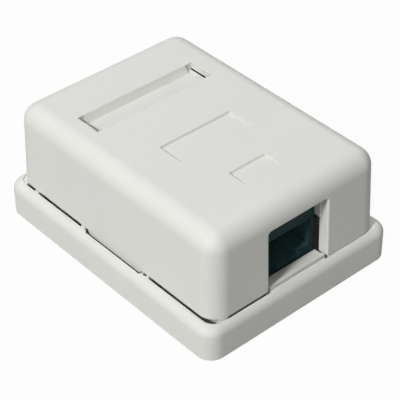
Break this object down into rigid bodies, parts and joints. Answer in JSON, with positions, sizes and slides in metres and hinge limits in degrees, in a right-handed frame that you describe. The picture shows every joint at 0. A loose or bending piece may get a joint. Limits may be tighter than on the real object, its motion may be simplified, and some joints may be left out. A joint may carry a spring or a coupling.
{
  "type": "surface mount jack box",
  "caption": "Low white wall box with a flanged base and a lift-off rounded cover whose end window shows a black eight-way data jack.",
  "frame": {"origin": "centre of the base's underside", "axes": "+X towards the jack's window, +Z away from the wall"},
  "size_m": [0.066, 0.0504, 0.0274],
  "materials": {
    "white_plastic": "satin",
    "black_plastic": "satin",
    "grey_plastic": "satin",
    "cap_plastic": "satin",
    "board": "solder mask",
    "gold": "gold flash",
    "tinned": "tinned"
  },
  "bodies": {
    "base": {"base": "white_plastic", "jack_housing": "black_plastic", "contact_carrier": "grey_plastic", "circuit_board": "board", "contact_1": "gold", "contact_2": "gold", "contact_3": "gold", "contact_4": "gold", "contact_5": "gold", "contact_6": "gold", "contact_7": "gold", "contact_8": "gold", "blade_left_1": "tinned", "blade_left_2": "tinned", "blade_left_3": "tinned", "blade_left_4": "tinned", "blade_right_1": "tinned", "blade_right_2": "tinned", "blade_right_3": "tinned", "blade_right_4": "tinned", "terminal_block_left": "black_plastic", "terminal_block_right": "black_plastic", "wire_cap_left": "cap_plastic", "wire_cap_right": "cap_plastic"},
    "cover": {"cover": "white_plastic"}
  },
  "joints": [
    {"name": "cover_lift", "type": "slide", "parent": "base", "child": "cover", "axis": [0, 0, 1], "range_m": [0, 0.02]}
  ]
}
